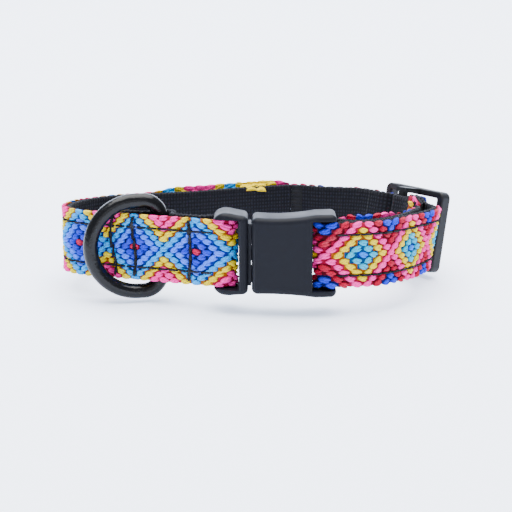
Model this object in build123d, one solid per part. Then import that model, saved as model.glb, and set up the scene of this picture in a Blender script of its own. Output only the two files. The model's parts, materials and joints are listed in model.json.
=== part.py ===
"""Knotted cat collar with a breakaway buckle, a D-ring and a strap adjuster.

The collar is laid out flat in its own frame first: Z is across the strap, the strap's middle
is Z 0, the buckle faces -Y.  An offset from a strap line is positive away from the neck.  At the
end one placement tips the whole collar back as it stands, its lowest point on the floor.
"""
from build123d import *
import os
from math import asin, atan, atan2, cos, degrees, pi, radians, sin

# Strap: black webbing with a knotted band sewn to its outer face
STRAP_WIDTH = 15.0
WEBBING = 1.1
BAND = 1.1
BAND_WIDTH = 14.4
LAYER_GAP = 0.25
STITCH = 0.35
STITCH_FROM_EDGE = 2.9

# Rear split, where the strap bends when the collar is opened
PIVOT_X = 8.5
PIVOT_Y = 49.5
FRONT_RADIUS = PIVOT_Y
SPLIT = 0.5

# Breakaway buckle, curved round the rear split so that its prongs draw straight out
BUCKLE_HEIGHT = 18.7
BUCKLE_DEPTH = 8.5
BUCKLE_CORNER = 3.0
BUCKLE_EDGE = 1.3
BUCKLE_WAIST = 0.8
BUCKLE_WAIST_X = 3.6
BUCKLE_WAIST_HALF = 9.5
BAR = 2.4
RAIL_GAP = 0.4
CLIP_LEFT = -9.8
CLIP_BAR_X = -8.2
CLIP_FACE = -3.8
CLIP_RIGHT = -1.75
HOUSING_LEFT = -0.95
FLANGE = 7.0
FLANGE_DEPTH = 4.6
HOUSING_FACE = 12.4
HOUSING_BAR_X = 16.4
HOUSING_RIGHT = 17.8
PRONG_TIP = 10.2
GUIDE_TIP = 8.2
PRONG_DEPTH = 3.4
PRONG_INNER = 3.2
PRONG_OUTER = 6.4
BUMP = 0.4
FIT = 0.3
PIN_GAP = 0.1

# D-ring
RING_WIRE = 3.4
RING_HEIGHT = 24.4
RING_REACH = 19.5
RING_BAR_CORNER = 4.2
RING_SWING = 31.0
RING_FROM_CLIP = 15.4
RING_PLAY = 0.35

# Folded and cross-stitched end at the male clip: how far each stitch line is from the clip's bar
SEWN_RUN = 28.0
FOLD_END = 26.5
CROSS_LINES = (6.8, 20.4, 25.6)
POCKET_FLAT = 3.0
POCKET_RAMP = 3.2

# Adjuster, a flat frame with a bar in its middle
ADJUSTER_RUN = 19.6
ADJUSTER_HEADING = 128.0
ADJUSTER_LENGTH = 19.6
ADJUSTER_HEIGHT = 19.4
ADJUSTER_RISE = 0.5
ADJUSTER_PLATE = 2.8
ADJUSTER_RIM = 1.6
ADJUSTER_END_BAR = 2.0
ADJUSTER_FACE = 4.1
ADJUSTER_CORNER = 1.6
ADJUSTER_BAR = 1.6
ADJUSTER_BAR_HALF = 1.1
ADJUSTER_BAR_OFFSET = 0.6
ADJUSTER_LEAN = 10.0
WAVE_TOP = 1.6
WAVE_FOOT = 7.2

# How far the collar tips back as it stands
TILT = 5.5

# How the strap turns round an end bar
TURN_RADIUS = BAR / 2 + PIN_GAP + WEBBING
TURN_LEAD = 1.6
TURN_RAMP = 4.6
INNER = -2 * WEBBING - LAYER_GAP


class Route:
    """A line in plan made of tangent straights and arcs, so its offsets are exact."""

    def __init__(self, x, y, heading):
        self.end = (x, y, heading)
        self.spans = []

    def go(self, length, turn=0.0):
        """Run on for a length while turning by an angle, left positive."""
        start = self.end
        self.spans.append((start, length, turn))
        self.end = walk(start, length, turn)
        return self

    def arc_to(self, x, y):
        """Leave on the present heading and reach a point on one arc."""
        away = Vector(x, y) - Vector(self.end[0], self.end[1])
        half = (degrees(atan2(away.Y, away.X)) - self.end[2] + 180) % 360 - 180
        stretch = radians(half) / sin(radians(half)) if abs(half) > 0.01 else 1.0
        return self.go(away.length * stretch, 2 * half)

    def jog(self, run, shift):
        """Move sideways, left positive, over a run and keep the heading."""
        half = atan(shift / run)
        arc = run / 2 * abs(2 * half / sin(2 * half))
        return self.go(arc, degrees(2 * half)).go(arc, -degrees(2 * half))

    @property
    def length(self):
        return sum(span[1] for span in self.spans)

    def at(self, distance, offset=0.0):
        """Point and heading at a distance along the route."""
        for start, length, turn in self.spans:
            if distance <= length:
                break
            distance -= length
        part = walk(start, distance, turn * distance / length)
        return beside(part, offset), part[2]

    def cut(self, begin, finish):
        """The spans between two distances."""
        kept = []
        for start, length, turn in self.spans:
            low = max(begin, 0.0)
            high = min(finish, length)
            if high - low > 1e-6:
                first = walk(start, low, turn * low / length)
                kept.append((first, high - low, turn * (high - low) / length))
            begin -= length
            finish -= length
        return kept


def walk(start, length, turn):
    """End point and heading of one span."""
    half = radians(turn) / 2
    chord = length * (sin(half) / half if half else 1.0)
    way = radians(start[2]) + half
    return start[0] + chord * cos(way), start[1] + chord * sin(way), start[2] + turn


def beside(place, offset):
    """The point beside a place on a route, positive to the right of the way it runs."""
    way = radians(place[2])
    return Vector(place[0] + offset * sin(way), place[1] - offset * cos(way))


def span_edge(span, offset):
    """One span's edge at an offset."""
    start, length, turn = span
    first = beside(start, offset)
    last = beside(walk(start, length, turn), offset)
    if not turn:
        return Line(first, last)
    middle = beside(walk(start, length / 2, turn / 2), offset)
    return ThreePointArc(first, middle, last)


def strip(spans, inner, outer, width=STRAP_WIDTH, level=0.0):
    """A flat layer that follows a route, between two offsets."""
    outside = [span_edge(span, outer) for span in spans]
    inside = [span_edge(span, inner) for span in spans]
    closing = [Line(outside[0] @ 0, inside[0] @ 0), Line(outside[-1] @ 1, inside[-1] @ 1)]
    face = make_face(Curve() + outside + inside + closing)
    return extrude(Pos(0, 0, level - width / 2) * face, amount=width, dir=(0, 0, 1))


def front_place(x):
    """Place and heading on the front circle about the rear split."""
    lean = asin((x - PIVOT_X) / FRONT_RADIUS)
    return x, PIVOT_Y - FRONT_RADIUS * cos(lean), degrees(lean)


# Strap lines, all run anticlockwise seen from above, so their right side faces away from the neck
def adjusting_run():
    """From the housing's end bar round the right side to the adjuster."""
    route = Route(*front_place(HOUSING_BAR_X))
    route.go(6.5).go(7.0, 26.0).arc_to(37.0, 11.9).arc_to(40.2, 16.8)
    return route.go(6.0, ADJUSTER_HEADING - route.end[2])


def adjuster_run():
    """The straight stretch that the adjuster sits on."""
    return Route(*adjusting_run().end).go(ADJUSTER_RUN)


def rear_right_run():
    """From beyond the adjuster to the rear split."""
    route = Route(*adjuster_run().end).go(5.0, 20.0).arc_to(12.3, 47.7)
    return route.arc_to(PIVOT_X + SPLIT / 2, PIVOT_Y - BAND)


def left_run():
    """From the rear split round the left side to the male clip's end bar."""
    x, y, heading = front_place(CLIP_BAR_X)
    joint = beside((x, y, heading - 90), SEWN_RUN + 1.0)
    route = Route(PIVOT_X - SPLIT / 2, PIVOT_Y - BAND, 196.0)
    route.arc_to(-10.0, 41.6).arc_to(-28.0, 36.0).arc_to(-39.0, 30.6).arc_to(-44.0, 22.6)
    route.arc_to(-42.4, 16.4).arc_to(joint.X, joint.Y)
    return route.go(1.0, heading + 360.0 - route.end[2]).go(SEWN_RUN)


# Strap layers
def band_strip(spans, inner, outer):
    """A knotted band, a little narrower than its webbing."""
    return strip(spans, inner, outer, BAND_WIDTH)


def stitch_rows(spans, face, rise=STITCH):
    """The two long rows of thread that hold the band to the webbing."""
    edge = STRAP_WIDTH / 2 - STITCH_FROM_EDGE
    return [strip(spans, min(face, face + rise), max(face, face + rise), STITCH, level)
            for level in (-edge, edge)]


def turned_end(place, side):
    """The line of the layer that goes round an end bar and settles beside the outer layer.

    side is +1 where the bar is on the left of the way in, -1 where it is on the right.
    """
    route = Route(*place).go(pi * TURN_RADIUS, side * 180.0).go(TURN_LEAD)
    return route.jog(TURN_RAMP, side * (2 * TURN_RADIUS + INNER))


def adjusting_loop():
    """Strap from the adjuster to the buckle, round its bar and back on the inner side."""
    run = adjusting_run()
    x, y, heading = run.spans[0][0]
    turned = turned_end((x, y, heading + 180.0), -1).spans
    outer = run.cut(0, run.length)
    back = run.cut(TURN_LEAD + TURN_RAMP, run.length)
    webbing = strip(outer, -WEBBING, 0) + strip(turned, 0, WEBBING) + strip(back, INNER, INNER + WEBBING)
    band = band_strip(outer, 0, BAND) + band_strip(turned, -BAND, 0)
    band += band_strip(back, INNER - BAND, INNER)
    rows = stitch_rows(run.cut(TURN_LEAD, run.length), BAND)
    rows += stitch_rows(back, INNER - BAND, -STITCH)
    return webbing, band, rows


def rear_right():
    """Strap from the adjuster to the rear split."""
    run = rear_right_run()
    spans = run.cut(0, run.length)
    rows = stitch_rows(run.cut(0, run.length - 1.0), BAND)
    return strip(spans, -WEBBING, 0), band_strip(spans, 0, BAND), rows


def left_fold(run):
    """The line of the folded end: round the clip's bar, past the ring's pocket, to its cut end."""
    pocket = RING_WIRE + 2 * RING_PLAY - LAYER_GAP
    ramp_start = RING_FROM_CLIP - POCKET_FLAT / 2 - POCKET_RAMP
    ramp_end = RING_FROM_CLIP + POCKET_FLAT / 2 + POCKET_RAMP
    route = turned_end(run.end, 1).go(ramp_start - TURN_LEAD - TURN_RAMP)
    route.jog(POCKET_RAMP, -pocket).go(POCKET_FLAT).jog(POCKET_RAMP, pocket)
    return route.go(FOLD_END - ramp_end).spans


def left_strap():
    """Strap from the rear split to the male clip, with its folded end of bare webbing."""
    run = left_run()
    fold = left_fold(run)
    spans = run.cut(0, run.length)
    webbing = strip(spans, -WEBBING, 0) + strip(fold, -WEBBING, 0)
    band = band_strip(spans, 0, BAND) + band_strip(fold[:1], 0, BAND)
    breaks = [1.0, *(run.length - line for line in reversed(CROSS_LINES)), run.length - TURN_LEAD]
    rows = []
    for begin, finish in zip(breaks, breaks[1:]):
        rows += stitch_rows(run.cut(begin + 2 * STITCH, finish - 2 * STITCH), BAND)
    return webbing, band, rows


def cross_line(distance):
    """Thread sewn across the strap through both layers, seen on both faces."""
    run = left_run()
    place = run.length - distance
    spans = run.cut(place - STITCH, place + STITCH)
    return [strip(spans, BAND, BAND + STITCH, BAND_WIDTH - 0.8),
            strip(spans, INNER - STITCH, INNER, BAND_WIDTH - 0.8)]


# Breakaway buckle
def around_split(inner, outer, left, right, low, high):
    """A block between two offsets from the front circle, two X values and two levels."""
    ring = Circle(FRONT_RADIUS + outer) - Circle(FRONT_RADIUS + inner)
    ring = Pos(PIVOT_X, PIVOT_Y, low) * extrude(ring, amount=high - low)
    middle = ((left + right) / 2, 0, (low + high) / 2)
    return ring & (Pos(*middle) * Box(right - left, 30, high - low))


def buckle_block(left, right, round_end):
    """The buckle's waisted outer shape between two X values, with one well rounded end."""
    height = BUCKLE_HEIGHT
    outline = Pos((left + right) / 2, 0) * Rectangle(right - left, height)
    radius = (BUCKLE_WAIST_HALF**2 + BUCKLE_WAIST**2) / (2 * BUCKLE_WAIST)
    for side in (-1, 1):
        level = side * (height / 2 - BUCKLE_WAIST + radius)
        outline -= Pos(BUCKLE_WAIST_X, level) * Circle(radius)
    ends = outline.vertices().group_by(Axis.X)
    outline = fillet(ends[round_end], radius=BUCKLE_CORNER)
    prism = extrude(Plane.XZ * outline, amount=20, both=True)
    inner = -TURN_RADIUS - BUCKLE_DEPTH / 2
    outer = inner + BUCKLE_DEPTH
    block = around_split(inner, outer, left - 1, right + 1, -height, height) & prism
    return fillet(block.edges(), radius=BUCKLE_EDGE)


def end_bar(x):
    """The round bar that the strap goes round."""
    place = front_place(x)
    spot = beside(place, -TURN_RADIUS)
    return Pos(spot.X, spot.Y) * Cylinder(BAR / 2, BUCKLE_HEIGHT - 1.6)


def strap_slot(left, right):
    """The space between the rails for the strap."""
    half = STRAP_WIDTH / 2 + RAIL_GAP
    return around_split(-20, 20, left, right, -half, half)


def male_clip():
    """Clip with its strap bar, a flange, two sprung prongs with bumps and a middle guide."""
    back = -TURN_RADIUS - PRONG_DEPTH / 2
    front = back + PRONG_DEPTH
    clip = buckle_block(CLIP_LEFT, CLIP_RIGHT, 0) - strap_slot(CLIP_LEFT - 2, CLIP_FACE)
    clip += end_bar(CLIP_BAR_X)
    clip += around_split(back, front, CLIP_RIGHT - 1, GUIDE_TIP, -1.4, 1.4)
    deep = (FLANGE_DEPTH - PRONG_DEPTH) / 2
    clip += around_split(back - deep, front + deep, CLIP_RIGHT - 1, HOUSING_LEFT - PIN_GAP,
                         -FLANGE, FLANGE)
    for side in (-1, 1):
        low, high = sorted((side * PRONG_INNER, side * PRONG_OUTER))
        prong = around_split(back, front, CLIP_RIGHT - 1, PRONG_TIP, low, high)
        low, high = sorted((side * PRONG_INNER, side * (PRONG_OUTER + BUMP)))
        bump = around_split(back, front, PRONG_TIP - 2.6, PRONG_TIP - 0.8, low, high)
        clip += prong + bump
    return clip


def housing():
    """Female housing with the prongs' cavity, its rails and its strap bar."""
    hollow = PRONG_OUTER + BUMP + FIT
    back = -TURN_RADIUS - PRONG_DEPTH / 2 - FIT
    front = -TURN_RADIUS + PRONG_DEPTH / 2 + FIT
    shell = buckle_block(HOUSING_LEFT, HOUSING_RIGHT, 1)
    shell -= strap_slot(HOUSING_FACE, HOUSING_RIGHT + 2)
    shell -= around_split(back, front, HOUSING_LEFT - 1, PRONG_TIP + 1.0, -hollow, hollow)
    return shell + end_bar(HOUSING_BAR_X)


# D-ring
def ring_place():
    """The ring's bar axis in plan and the way its bow points."""
    run = left_run()
    offset = -WEBBING - RING_PLAY - RING_WIRE / 2
    spot, heading = run.at(run.length - RING_FROM_CLIP, offset)
    return spot, heading + 180.0 + RING_SWING


def d_ring():
    """Round wire bent to a D, with its bar in the strap's pocket."""
    half = (RING_HEIGHT - RING_WIRE) / 2
    reach = RING_REACH - RING_WIRE
    corner = RING_BAR_CORNER
    bar = Line((0, -half + corner), (0, half - corner))
    top = Line((corner, half), (reach - half, half))
    bottom = Line((corner, -half), (reach - half, -half))
    bow = RadiusArc(top @ 1, bottom @ 1, half)
    upper = RadiusArc(bar @ 1, top @ 0, corner)
    lower = RadiusArc(bar @ 0, bottom @ 0, -corner)
    wire = Wire([*bar.edges(), *top.edges(), *bottom.edges(), *bow.edges(), *upper.edges(),
                 *lower.edges()])
    ring = sweep(Plane.XZ * Circle(RING_WIRE / 2), path=wire)
    spot, way = ring_place()
    return Pos(spot.X, spot.Y) * Rot(0, 0, way) * Rot(90, 0, 0) * ring


# Strap adjuster, laid out with X along the strap and +Y towards the neck
def adjuster_place():
    """Where the adjuster's own frame sits."""
    spot, heading = adjuster_run().at(ADJUSTER_RUN / 2)
    return Pos(spot.X, spot.Y) * Rot(0, 0, heading) * Rot(ADJUSTER_LEAN, 0, 0)


def adjuster_frame():
    """Flat frame, with a lower middle bar that the strap's sewn end goes round."""
    outline = Rectangle(ADJUSTER_LENGTH, ADJUSTER_HEIGHT)
    outline = fillet(outline.vertices(), radius=ADJUSTER_CORNER)
    window_length = ADJUSTER_LENGTH - 2 * ADJUSTER_END_BAR
    window_height = ADJUSTER_HEIGHT - 2 * ADJUSTER_RIM
    outline -= Rectangle(window_length, window_height)
    plate = extrude(Plane.XZ.offset(ADJUSTER_FACE) * outline, amount=ADJUSTER_PLATE)
    plate = fillet(plate.edges(), radius=0.45)
    bar_low = ADJUSTER_BAR_OFFSET - ADJUSTER_BAR / 2
    depth = ADJUSTER_FACE + ADJUSTER_PLATE / 2 - bar_low
    level = (ADJUSTER_HEIGHT - ADJUSTER_RIM) / 2
    lug = Pos(0, -bar_low - depth / 2, 0) * Box(3.4, depth, ADJUSTER_RIM - 0.5)
    bar = Box(2 * ADJUSTER_BAR_HALF, ADJUSTER_BAR, 2 * level)
    bar = fillet(bar.edges().filter_by(Axis.Z), radius=0.5)
    frame = plate + Pos(0, -ADJUSTER_BAR_OFFSET, 0) * bar
    for side in (-level, level):
        frame += Pos(0, 0, side) * lug
    return adjuster_place() * Pos(0, 0, ADJUSTER_RISE) * frame


def over_bar():
    """The strap that rises over the adjuster's middle bar, webbing and band."""
    rise = ADJUSTER_BAR_OFFSET + ADJUSTER_BAR / 2 + 2 * WEBBING + 2 * PIN_GAP
    route = Route(-ADJUSTER_RUN / 2, 0.0, 0.0).go(ADJUSTER_RUN / 2 - WAVE_FOOT)
    route.jog(WAVE_FOOT - WAVE_TOP, -rise).go(2 * WAVE_TOP).jog(WAVE_FOOT - WAVE_TOP, rise)
    spans = route.go(ADJUSTER_RUN / 2 - WAVE_FOOT).spans
    return (adjuster_place() * strip(spans, -WEBBING, 0),
            adjuster_place() * band_strip(spans, 0, BAND))


def sewn_end():
    """The inner layer's end, round the middle bar and sewn, webbing and band."""
    start = -INNER - WEBBING
    beside_bar = ADJUSTER_BAR / 2 - ADJUSTER_BAR_OFFSET + PIN_GAP / 2
    run_up = ADJUSTER_RUN / 2 - 2.0 - ADJUSTER_BAR_HALF - 6.6
    route = Route(-ADJUSTER_RUN / 2, start, 0.0).go(run_up + 2.0)
    route.jog(6.6, beside_bar - start)
    band = band_strip(route.cut(0, run_up + 4.0), -WEBBING - BAND, -WEBBING)
    turn = ADJUSTER_BAR / 2 + PIN_GAP / 2
    route.go(2 * ADJUSTER_BAR_HALF - 0.5).go(pi * turn, -180.0).go(2 * ADJUSTER_BAR_HALF - 0.5)
    return adjuster_place() * strip(route.spans, -WEBBING, 0), adjuster_place() * band


def sewn_end_thread():
    """Thread sewn across the inner layer beside the middle bar."""
    face = WEBBING + BAND - INNER - WEBBING
    line = Pos(-ADJUSTER_RUN / 2 + 1.6, face + STITCH / 2, 0) * Box(0.7, STITCH, BAND_WIDTH - 0.8)
    return adjuster_place() * line


def build():
    """Every node in the collar's own flat frame."""
    nodes = {"buckle_housing": [housing()], "male_clip": [male_clip()], "d_ring": [d_ring()],
             "adjuster_frame": [adjuster_frame()]}
    for name, strap in (("adjusting_loop", adjusting_loop()), ("rear_right", rear_right()),
                        ("left_strap", left_strap())):
        webbing, band, rows = strap
        nodes[name + "_webbing"] = [webbing]
        nodes[name + "_knotted_band"] = [band]
        nodes[name + "_stitching"] = rows
    names = ("buckle_cross_stitching", "ring_cross_stitching", "fold_end_cross_stitching")
    for name, distance in zip(names, CROSS_LINES):
        nodes[name] = cross_line(distance)
    for name, pair in (("adjuster", over_bar()), ("sewn_end", sewn_end())):
        nodes[name + "_webbing"] = [pair[0]]
        nodes[name + "_knotted_band"] = [pair[1]]
    nodes["sewn_end_stitching"] = [sewn_end_thread()]
    return {name: [solid for shape in group for solid in shape.solids()]
            for name, group in nodes.items()}


def placement(nodes):
    """Tips the collar back, its lowest point at Z 0 and its footprint's middle at the origin."""
    tipped = Rot(-TILT, 0, 0)
    box = (tipped * Compound([solid for group in nodes.values() for solid in group])).bounding_box()
    return Pos(-box.center().X, -box.center().Y, -box.min.Z) * tipped


def main():
    """Writes each node in its place."""
    os.makedirs("parts", exist_ok=True)
    nodes = build()
    place = placement(nodes)
    for name, group in nodes.items():
        export_step(place * Compound(group), f"parts/{name}.step")


main()
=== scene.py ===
"""Looks of the knotted cat collar: real knots on black webbing, thread, plastic and enamel.

Lengths are in millimetres in the collar's own flat frame, where Z is across the strap, the
buckle faces -Y and an offset from a strap line is positive away from the neck.  FLAT takes that
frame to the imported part's, in metres.
"""
import json
import random
from math import asin, atan, atan2, cos, degrees, exp, pi, radians, sin, tanh

import bpy
import numpy as np
from mathutils import Matrix, Vector


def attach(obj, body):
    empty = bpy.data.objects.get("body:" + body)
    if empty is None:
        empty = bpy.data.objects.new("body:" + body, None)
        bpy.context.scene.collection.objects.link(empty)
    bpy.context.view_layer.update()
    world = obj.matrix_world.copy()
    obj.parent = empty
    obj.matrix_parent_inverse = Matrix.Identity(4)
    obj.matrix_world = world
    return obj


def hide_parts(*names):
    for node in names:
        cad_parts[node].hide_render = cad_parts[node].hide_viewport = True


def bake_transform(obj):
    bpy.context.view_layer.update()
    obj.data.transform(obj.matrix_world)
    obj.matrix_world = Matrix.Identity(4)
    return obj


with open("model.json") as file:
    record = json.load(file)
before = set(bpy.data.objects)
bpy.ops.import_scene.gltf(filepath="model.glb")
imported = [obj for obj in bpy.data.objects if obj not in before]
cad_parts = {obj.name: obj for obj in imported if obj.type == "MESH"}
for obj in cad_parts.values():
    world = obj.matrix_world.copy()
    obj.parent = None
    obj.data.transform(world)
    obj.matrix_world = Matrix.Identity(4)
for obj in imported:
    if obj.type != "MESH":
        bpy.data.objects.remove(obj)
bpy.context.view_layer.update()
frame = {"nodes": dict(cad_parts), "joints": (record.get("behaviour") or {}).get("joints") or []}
JOINTS = {joint["name"]: joint for joint in frame["joints"]}

# Strap, as in the CAD
STRAP_WIDTH = 15.0
WEBBING = 1.1
BAND = 1.1
LAYER_GAP = 0.25
INNER = -2 * WEBBING - LAYER_GAP
PIVOT_X = 8.5
PIVOT_Y = 49.5
SPLIT = 0.5
BAR = 2.4
PIN_GAP = 0.1
TURN_RADIUS = BAR / 2 + PIN_GAP + WEBBING
TURN_LEAD = 1.6
TURN_RAMP = 4.6
CLIP_BAR_X = -8.2
HOUSING_BAR_X = 16.4
SEWN_RUN = 28.0
FOLD_END = 26.5
CROSS_LINES = (6.8, 20.4, 25.6)
RING_WIRE = 3.4
RING_PLAY = 0.35
RING_FROM_CLIP = 15.4
POCKET_FLAT = 3.0
POCKET_RAMP = 3.2
ADJUSTER_RUN = 19.6
ADJUSTER_HEADING = 128.0
ADJUSTER_BAR = 1.6
ADJUSTER_BAR_HALF = 1.1
ADJUSTER_BAR_OFFSET = 0.6
ADJUSTER_LEAN = 10.0
ADJUSTER_RISE = 0.5
WAVE_TOP = 1.6
WAVE_FOOT = 7.2

# Knots
KNOT_REPEAT = 12
KNOT_STEP = 1.19
STITCH_LEVEL = STRAP_WIDTH / 2 - 2.9
THREAD = 0.23


def flat_frame():
    """The matrix from the flat frame in millimetres to the row frame in metres."""
    hinge = JOINTS["collar_open"]
    across = -Vector(hinge["axis"]).normalized()
    along = Vector((1, 0, 0))
    away = across.cross(along)
    turn = Matrix((along, away, across)).transposed()
    pivot = Vector(hinge["pos_m"]) - turn @ Vector((PIVOT_X, PIVOT_Y, 0)) * 0.001
    return Matrix.Translation(pivot) @ (turn * 0.001).to_4x4()


FLAT = flat_frame()
TURN = np.array(FLAT.to_3x3())
SHIFT = np.array(FLAT.translation)


def to_row(points):
    """Flat-frame points, one per row, in the row frame."""
    return np.asarray(points, float) @ TURN.T + SHIFT


# Strap lines
def walk(start, length, turn):
    """End point and heading of one span."""
    half = radians(turn) / 2
    chord = length * (sin(half) / half if half else 1.0)
    way = radians(start[2]) + half
    return start[0] + chord * cos(way), start[1] + chord * sin(way), start[2] + turn


def beside(place, offset):
    """The point beside a place, positive to the right of the way the line runs."""
    way = radians(place[2])
    return place[0] + offset * sin(way), place[1] - offset * cos(way)


class Route:
    """A line in plan made of tangent straights and arcs."""

    def __init__(self, x, y, heading):
        self.end = (x, y, heading)
        self.spans = []

    def go(self, length, turn=0.0):
        """Run on for a length while turning by an angle, left positive."""
        self.spans.append((self.end, length, turn))
        self.end = walk(self.end, length, turn)
        return self

    def arc_to(self, x, y):
        """Leave on the present heading and reach a point on one arc."""
        dx, dy = x - self.end[0], y - self.end[1]
        half = (degrees(atan2(dy, dx)) - self.end[2] + 180) % 360 - 180
        stretch = radians(half) / sin(radians(half)) if abs(half) > 0.01 else 1.0
        return self.go((dx * dx + dy * dy) ** 0.5 * stretch, 2 * half)

    def jog(self, run, shift):
        """Move sideways, left positive, over a run and keep the heading."""
        half = atan(shift / run)
        arc = run / 2 * abs(2 * half / sin(2 * half))
        return self.go(arc, degrees(2 * half)).go(arc, -degrees(2 * half))

    def follow(self, spans, offset=0.0):
        """Continue along other spans at an offset from them."""
        for _, length, turn in spans:
            self.go(length + offset * radians(turn), turn)
        return self

    def reversed(self):
        """The same line the other way."""
        back = Route(self.end[0], self.end[1], self.end[2] + 180.0)
        for _, length, turn in reversed(self.spans):
            back.go(length, -turn)
        return back

    def cut(self, begin):
        """The spans from a distance on."""
        kept = []
        for start, length, turn in self.spans:
            low = max(begin, 0.0)
            if low < length:
                first = walk(start, low, turn * low / length)
                kept.append((first, length - low, turn * (length - low) / length))
            begin -= length
        return kept

    @property
    def length(self):
        return sum(span[1] for span in self.spans)

    def at(self, distance):
        """Place and heading at a distance, run on straight past either end."""
        for start, length, turn in self.spans:
            if distance <= length:
                break
            distance -= length
        if distance < 0 or distance > length:
            return walk(walk(start, length, turn) if distance > 0 else start,
                        distance - (length if distance > 0 else 0), 0)
        return walk(start, distance, turn * distance / length)


def front_place(x):
    """Place and heading on the front circle about the rear split."""
    lean = asin((x - PIVOT_X) / PIVOT_Y)
    return x, PIVOT_Y - PIVOT_Y * cos(lean), degrees(lean)


def turned_end(place, side):
    """The line that goes round an end bar and settles beside the outer layer."""
    route = Route(*place).go(pi * TURN_RADIUS, side * 180.0).go(TURN_LEAD)
    return route.jog(TURN_RAMP, side * (2 * TURN_RADIUS + INNER))


def adjusting_run():
    """From the housing's end bar round the right side to the adjuster."""
    route = Route(*front_place(HOUSING_BAR_X))
    route.go(6.5).go(7.0, 26.0).arc_to(37.0, 11.9).arc_to(40.2, 16.8)
    return route.go(6.0, ADJUSTER_HEADING - route.end[2])


def adjusting_loop():
    """The whole loop: from the adjuster along the neck, round the bar, and back outside."""
    run = adjusting_run()
    x, y, heading = run.spans[0][0]
    inside = turned_end((x, y, heading + 180.0), -1)
    inside.follow(run.cut(TURN_LEAD + TURN_RAMP), INNER)
    return inside.reversed().follow(run.spans), inside.length


def rear_right_run():
    """From beyond the adjuster to the rear split."""
    adjuster = Route(*adjusting_run().end).go(ADJUSTER_RUN)
    route = Route(*adjuster.end).go(5.0, 20.0).arc_to(12.3, 47.7)
    return route.arc_to(PIVOT_X + SPLIT / 2, PIVOT_Y - BAND)


def left_run():
    """From the rear split round the left side to the male clip's end bar."""
    x, y, heading = front_place(CLIP_BAR_X)
    joint = beside((x, y, heading - 90), SEWN_RUN + 1.0)
    route = Route(PIVOT_X - SPLIT / 2, PIVOT_Y - BAND, 196.0)
    route.arc_to(-10.0, 41.6).arc_to(-28.0, 36.0).arc_to(-39.0, 30.6).arc_to(-44.0, 22.6)
    route.arc_to(-42.4, 16.4).arc_to(*joint)
    return route.go(1.0, heading + 360.0 - route.end[2]).go(SEWN_RUN)


def left_strap():
    """The left side with its folded end, and where the fold begins."""
    run = left_run()
    outer = run.length
    pocket = RING_WIRE + 2 * RING_PLAY - LAYER_GAP
    ramp_start = RING_FROM_CLIP - POCKET_FLAT / 2 - POCKET_RAMP
    ramp_end = RING_FROM_CLIP + POCKET_FLAT / 2 + POCKET_RAMP
    fold = turned_end(run.end, 1).go(ramp_start - TURN_LEAD - TURN_RAMP)
    fold.jog(POCKET_RAMP, -pocket).go(POCKET_FLAT).jog(POCKET_RAMP, pocket)
    fold.go(FOLD_END - ramp_end)
    return run.follow(fold.spans), outer


def over_bar():
    """The strap over the adjuster's middle bar, along the adjuster's own X."""
    rise = ADJUSTER_BAR_OFFSET + ADJUSTER_BAR / 2 + 2 * WEBBING + 2 * PIN_GAP
    route = Route(-ADJUSTER_RUN / 2, 0.0, 0.0).go(ADJUSTER_RUN / 2 - WAVE_FOOT)
    route.jog(WAVE_FOOT - WAVE_TOP, -rise).go(2 * WAVE_TOP).jog(WAVE_FOOT - WAVE_TOP, rise)
    return route.go(ADJUSTER_RUN / 2 - WAVE_FOOT)


def sewn_end():
    """The inner layer's end round the middle bar, along the adjuster's own X."""
    start = -INNER - WEBBING
    beside_bar = ADJUSTER_BAR / 2 - ADJUSTER_BAR_OFFSET + PIN_GAP / 2
    run_up = ADJUSTER_RUN / 2 - 2.0 - ADJUSTER_BAR_HALF - 6.6
    route = Route(-ADJUSTER_RUN / 2, start, 0.0).go(run_up + 2.0)
    route.jog(6.6, beside_bar - start)
    turn = ADJUSTER_BAR / 2 + PIN_GAP / 2
    return route.go(2 * ADJUSTER_BAR_HALF - 0.5).go(pi * turn, -180.0).go(2 * ADJUSTER_BAR_HALF - 0.5)


class Strap:
    """A stretch of strap: its line, how it leans, and where that line lies in the flat frame."""

    def __init__(self, route, lean=None, local=False, rise=None):
        self.route = route
        self.lean = lean
        self.rise = rise
        self.place = adjuster_matrix() if local else None

    def point(self, distance, offset, level):
        """The flat-frame point at a distance along, an offset outward and a level across."""
        if self.rise:
            level += self.rise(distance)
        if self.lean:
            angle = radians(self.lean(distance))
            offset, level = (offset * cos(angle) + level * sin(angle),
                             level * cos(angle) - offset * sin(angle))
        x, y = beside(self.route.at(distance), offset)
        if self.place:
            return tuple(self.place @ Vector((x, y, level)))
        return x, y, level

    def points(self, rows):
        """Row-frame points for rows of distance, offset and level."""
        return to_row([self.point(*row) for row in rows])


def adjuster_matrix():
    """From the adjuster's own frame to the flat frame."""
    x, y, heading = walk(adjusting_run().end, ADJUSTER_RUN / 2, 0)
    turn = Matrix.Rotation(radians(heading), 4, "Z") @ Matrix.Rotation(radians(ADJUSTER_LEAN), 4, "X")
    return Matrix.Translation((x, y, 0)) @ turn


def smooth(x, low, high):
    """0 below low, 1 above high, smooth between."""
    t = min(1.0, max(0.0, (x - low) / (high - low)))
    return t * t * (3 - 2 * t)


LOOP, LOOP_INSIDE = adjusting_loop()
REAR_RIGHT = rear_right_run()
LEFT, LEFT_OUTER = left_strap()


def loop_lean(distance):
    """The loop stands upright at the buckle and leans with the adjuster at both its ends."""
    return ADJUSTER_LEAN * (smooth(distance, LOOP.length - 20, LOOP.length)
                            + 1 - smooth(distance, 0, 16))


def rear_lean(distance):
    """The rear strap comes upright again after the adjuster."""
    return ADJUSTER_LEAN * (1 - smooth(distance, 0, 16))


def left_rise(distance):
    """The folded end sits a little high behind the front of the strap."""
    return 0.45 * smooth(distance - LEFT_OUTER, 8, 12)


def rear_rise(distance):
    """The rear strap comes down again from the adjuster, where it sits high."""
    return ADJUSTER_RISE * (1 - smooth(distance, 0, 16))


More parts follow.
